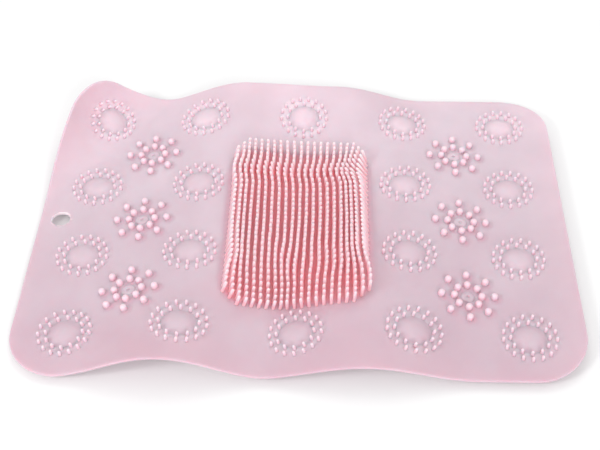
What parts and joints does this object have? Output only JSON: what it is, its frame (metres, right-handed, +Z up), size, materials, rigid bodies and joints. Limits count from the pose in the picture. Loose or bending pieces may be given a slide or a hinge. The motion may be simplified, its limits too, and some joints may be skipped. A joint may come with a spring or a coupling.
{
  "type": "foot massage mat",
  "caption": "Soft rectangular foot massage mat lying in gentle waves, with a central block of bristles, domed rosettes, flower rings of nubs, suction cups below and a hanging hole.",
  "frame": {"origin": "on the floor under the middle of the mat's outline", "axes": "+X along the length, away from the hanging hole; +Y across the width, to the far edge; +Z up, on the bristle side"},
  "size_m": [0.398, 0.2901, 0.0426],
  "materials": {
    "soft_mat": "satin"
  },
  "bodies": {
    "root": {"mat": "soft_mat"}
  },
  "joints": []
}
